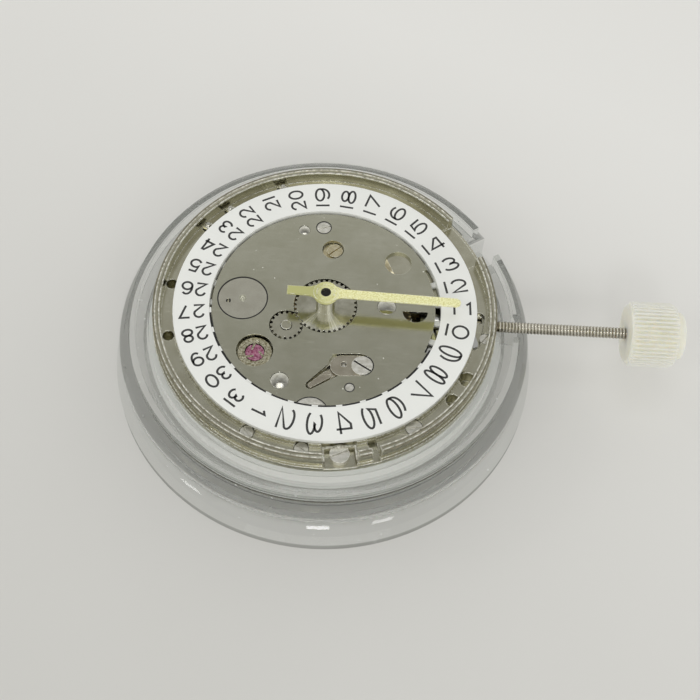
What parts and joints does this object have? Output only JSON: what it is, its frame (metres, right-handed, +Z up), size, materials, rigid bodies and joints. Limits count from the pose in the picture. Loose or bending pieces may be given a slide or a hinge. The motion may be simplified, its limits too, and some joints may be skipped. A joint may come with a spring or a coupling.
{
  "type": "automatic watch movement",
  "caption": "Round automatic watch movement with a date ring, dial side up in a clear holder, with a baton hand, a threaded winding stem and a ribbed crown.",
  "frame": {"origin": "centre of the holder's underside, on the axis of the hands", "axes": "+Z up out of the dial side, +X out along the winding stem towards the crown"},
  "size_m": [0.0436, 0.0328, 0.0095],
  "materials": {
    "clear_plastic": "clear moulded plastic",
    "nickel_plated": "nickel-plated brass, fine grain",
    "polished_steel": "polished steel",
    "gilt_brass": "gilt brass, turned",
    "copper_tone": "pinkish plated spring bronze",
    "white_ring": "white lacquer",
    "gold_hand": "satin gold plating",
    "crown_plastic": "milky moulded plastic",
    "blue_spring": "tempered strip",
    "gilt_setting": "gilt",
    "ruby": "polished synthetic ruby",
    "tungsten": "turned heavy metal"
  },
  "bodies": {
    "holder": {"movement_holder": "clear_plastic"},
    "movement": {"main_plate": "nickel_plated", "date_guard_plate": "nickel_plated", "dial_side_screws": "polished_steel", "date_eccentric": "gilt_brass", "jumper_keeper": "copper_tone", "setting_lever_spring": "polished_steel", "crown_wheel_bridge": "nickel_plated", "shock_settings": "gilt_setting", "shock_jewels": "ruby", "shock_springs": "gilt_setting", "train_jewels": "ruby", "barrel_bridge": "nickel_plated", "train_bridge": "nickel_plated", "pallet_bridge": "nickel_plated", "balance_bridge": "nickel_plated", "bridge_screws": "polished_steel", "automatic_bridge": "nickel_plated", "rotor_bearing": "polished_steel"},
    "date_ring": {"date_ring": "white_ring"},
    "hands": {"cannon_pinion": "polished_steel", "minute_hand": "gold_hand"},
    "hour_wheel": {"hour_wheel": "gilt_brass"},
    "minute_wheel": {"minute_wheel": "gilt_brass"},
    "date_idler": {"intermediate_date_wheel": "gilt_brass"},
    "date_driver": {"date_driving_wheel": "polished_steel"},
    "date_jumper": {"date_jumper": "copper_tone"},
    "setting_idler": {"intermediate_setting_wheel": "gilt_brass"},
    "setting_wheel": {"setting_wheel": "gilt_brass"},
    "barrel": {"barrel_drum": "gilt_brass", "barrel_cover": "gilt_brass", "mainspring": "blue_spring"},
    "centre_wheel": {"centre_wheel": "gilt_brass"},
    "third_wheel": {"third_wheel": "gilt_brass"},
    "seconds_wheel": {"seconds_wheel": "gilt_brass"},
    "escape_wheel": {"escape_wheel": "polished_steel"},
    "pallets": {"pallet_fork": "polished_steel", "pallet_stones": "ruby"},
    "balance": {"balance_wheel": "gilt_brass", "hairspring": "blue_spring"},
    "regulator": {"regulator": "nickel_plated"},
    "stem": {"winding_stem": "polished_steel", "crown": "crown_plastic"},
    "winding_pinion": {"winding_pinion": "polished_steel"},
    "sliding_pinion": {"sliding_pinion": "polished_steel"},
    "setting_lever": {"setting_lever": "polished_steel"},
    "yoke": {"yoke": "polished_steel"},
    "crown_wheel": {"crown_wheel": "nickel_plated"},
    "ratchet": {"ratchet_wheel": "nickel_plated", "barrel_arbor": "nickel_plated"},
    "click": {"click": "polished_steel"},
    "rotor": {"rotor_plate": "nickel_plated", "rotor_weight": "tungsten", "rotor_pinion": "gilt_brass"},
    "reverser_a": {"reversing_wheel_a": "gilt_brass"},
    "reverser_b": {"reversing_wheel_b": "gilt_brass"},
    "reverser_pinion": {"reversing_pinion_b": "polished_steel"},
    "reduction": {"reduction_wheel": "gilt_brass"}
  },
  "joints": [
    {"name": "movement_lift", "type": "slide", "parent": "holder", "child": "movement", "axis": [0, 0, 1], "range_m": [0, 0.012]},
    {"name": "date_ring_turn", "type": "hinge", "parent": "movement", "child": "date_ring", "pos_m": [0, 0, 0.0076], "axis": [0, 0, 1], "continuous": true},
    {"name": "hands_turn", "type": "hinge", "parent": "movement", "child": "hands", "pos_m": [0, 0, 0.0085], "axis": [0, 0, 1], "continuous": true},
    {"name": "hour_wheel_turn", "type": "hinge", "parent": "movement", "child": "hour_wheel", "pos_m": [0, 0, 0.0075], "axis": [0, 0, 1], "continuous": true},
    {"name": "minute_wheel_turn", "type": "hinge", "parent": "movement", "child": "minute_wheel", "pos_m": [-0.00283, -0.00188, 0.007], "axis": [0, 0, 1], "continuous": true},
    {"name": "date_idler_turn", "type": "hinge", "parent": "movement", "child": "date_idler", "pos_m": [-0.00258, 0.00079, 0.00693], "axis": [0, 0, 1], "continuous": true},
    {"name": "date_driver_turn", "type": "hinge", "parent": "movement", "child": "date_driver", "pos_m": [-0.00625, 0.00031, 0.0072], "axis": [0, 0, 1], "continuous": true},
    {"name": "setting_idler_turn", "type": "hinge", "parent": "movement", "child": "setting_idler", "pos_m": [0.00191, -0.00229, 0.00673], "axis": [0, 0, 1], "continuous": true},
    {"name": "setting_wheel_turn", "type": "hinge", "parent": "movement", "child": "setting_wheel", "pos_m": [0.0046, 0.00016, 0.00673], "axis": [0, 0, 1], "continuous": true},
    {"name": "date_jumper_lift", "type": "hinge", "parent": "movement", "child": "date_jumper", "pos_m": [0.00159, -0.00493, 0.0072], "axis": [0, 0, 1], "range_deg": [-2, 0]},
    {"name": "escape_wheel_turn", "type": "hinge", "parent": "movement", "child": "escape_wheel", "pos_m": [-0.00049, -0.00349, 0.0061], "axis": [0, 0, 1], "continuous": true},
    {"name": "seconds_wheel_turn", "type": "hinge", "parent": "movement", "child": "seconds_wheel", "pos_m": [0, 0, 0.0049], "axis": [0, 0, 1], "continuous": true},
    {"name": "third_wheel_turn", "type": "hinge", "parent": "movement", "child": "third_wheel", "pos_m": [0.00326, -0.00152, 0.0051], "axis": [0, 0, 1], "continuous": true},
    {"name": "centre_wheel_turn", "type": "hinge", "parent": "movement", "child": "centre_wheel", "pos_m": [0, 0, 0.0053], "axis": [0, 0, 1], "continuous": true},
    {"name": "barrel_turn", "type": "hinge", "parent": "movement", "child": "barrel", "pos_m": [0.00333, 0.00493, 0.0058], "axis": [0, 0, 1], "continuous": true},
    {"name": "pallet_rock", "type": "hinge", "parent": "movement", "child": "pallets", "pos_m": [-0.0027, -0.00383, 0.0061], "axis": [0, 0, 1], "range_deg": [-4, 4]},
    {"name": "balance_swing", "type": "hinge", "parent": "movement", "child": "balance", "pos_m": [-0.00499, -0.00419, 0.0055], "axis": [0, 0, 1], "range_deg": [-270, 270], "stiffness_Nm_per_rad": 0.00000028},
    {"name": "regulator_turn", "type": "hinge", "parent": "movement", "child": "regulator", "pos_m": [-0.00499, -0.00419, 0.0042], "axis": [0, 0, 1], "range_deg": [-10, 10]},
    {"name": "crown_turn", "type": "hinge", "parent": "movement", "child": "winding_pinion", "pos_m": [0.00955, 0, 0.0059], "axis": [1, 0, 0], "continuous": true},
    {"name": "crown_pull", "type": "slide", "parent": "winding_pinion", "child": "stem", "axis": [1, 0, 0], "range_m": [0, 0.001]},
    {"name": "sliding_pinion_shift", "type": "slide", "parent": "winding_pinion", "child": "sliding_pinion", "axis": [1, 0, 0], "range_m": [-0.0006, 0]},
    {"name": "crown_wheel_turn", "type": "hinge", "parent": "movement", "child": "crown_wheel", "pos_m": [0.0072, 0, 0.0043], "axis": [0, 0, 1], "continuous": true},
    {"name": "ratchet_turn", "type": "hinge", "parent": "movement", "child": "ratchet", "pos_m": [0.00333, 0.00493, 0.0041], "axis": [0, 0, 1], "continuous": true},
    {"name": "click_lift", "type": "hinge", "parent": "movement", "child": "click", "pos_m": [0.00843, 0.00602, 0.0041], "axis": [0, 0, 1], "range_deg": [-8, 0]},
    {"name": "setting_lever_turn", "type": "hinge", "parent": "movement", "child": "setting_lever", "pos_m": [0.0111, -0.00225, 0.0067], "axis": [0, 0, 1], "range_deg": [-25.06, 0]},
    {"name": "yoke_turn", "type": "hinge", "parent": "movement", "child": "yoke", "pos_m": [0.0081, -0.0033, 0.0067], "axis": [0, 0, 1], "range_deg": [0, 13.5]},
    {"name": "rotor_turn", "type": "hinge", "parent": "movement", "child": "rotor", "pos_m": [0, 0, 0.0035], "axis": [0, 0, 1], "continuous": true},
    {"name": "reverser_a_turn", "type": "hinge", "parent": "movement", "child": "reverser_a", "pos_m": [-0.00229, 0.00246, 0.0041], "axis": [0, 0, 1], "continuous": true},
    {"name": "reverser_b_turn", "type": "hinge", "parent": "movement", "child": "reverser_b", "pos_m": [-0.00484, 0.00489, 0.0041], "axis": [0, 0, 1], "continuous": true},
    {"name": "reverser_pinion_turn", "type": "hinge", "parent": "movement", "child": "reverser_pinion", "pos_m": [-0.00484, 0.00489, 0.0038], "axis": [0, 0, 1], "continuous": true},
    {"name": "reduction_turn", "type": "hinge", "parent": "movement", "child": "reduction", "pos_m": [-0.00147, 0.00586, 0.0038], "axis": [0, 0, 1], "continuous": true}
  ],
  "couplings": [
    {"joint": "minute_wheel_turn", "follows": "hands_turn", "ratio": -0.16667},
    {"joint": "hour_wheel_turn", "follows": "hands_turn", "ratio": 0.083333},
    {"joint": "date_idler_turn", "follows": "hands_turn", "ratio": -0.04902},
    {"joint": "date_driver_turn", "follows": "hands_turn", "ratio": 0.041667},
    {"joint": "setting_idler_turn", "follows": "hands_turn", "ratio": 0.26316},
    {"joint": "setting_wheel_turn", "follows": "hands_turn", "ratio": -0.27027},
    {"joint": "seconds_wheel_turn", "follows": "escape_wheel_turn", "ratio": -0.1},
    {"joint": "third_wheel_turn", "follows": "escape_wheel_turn", "ratio": 0.013333},
    {"joint": "centre_wheel_turn", "follows": "escape_wheel_turn", "ratio": -0.0016667},
    {"joint": "barrel_turn", "follows": "escape_wheel_turn", "ratio": 0.00027778},
    {"joint": "crown_wheel_turn", "follows": "crown_turn", "ratio": 0.43333},
    {"joint": "ratchet_turn", "follows": "crown_turn", "ratio": -0.26},
    {"joint": "sliding_pinion_shift", "follows": "crown_pull", "ratio": -0.6},
    {"joint": "setting_lever_turn", "follows": "crown_pull", "rad_per_m": -437.3},
    {"joint": "yoke_turn", "follows": "crown_pull", "rad_per_m": 235.6},
    {"joint": "reverser_a_turn", "follows": "rotor_turn", "ratio": -0.90909},
    {"joint": "reverser_b_turn", "follows": "rotor_turn", "ratio": 0.90909},
    {"joint": "reduction_turn", "follows": "rotor_turn", "ratio": 0.22727},
    {"joint": "reverser_pinion_turn", "follows": "rotor_turn", "ratio": -0.90909}
  ]
}
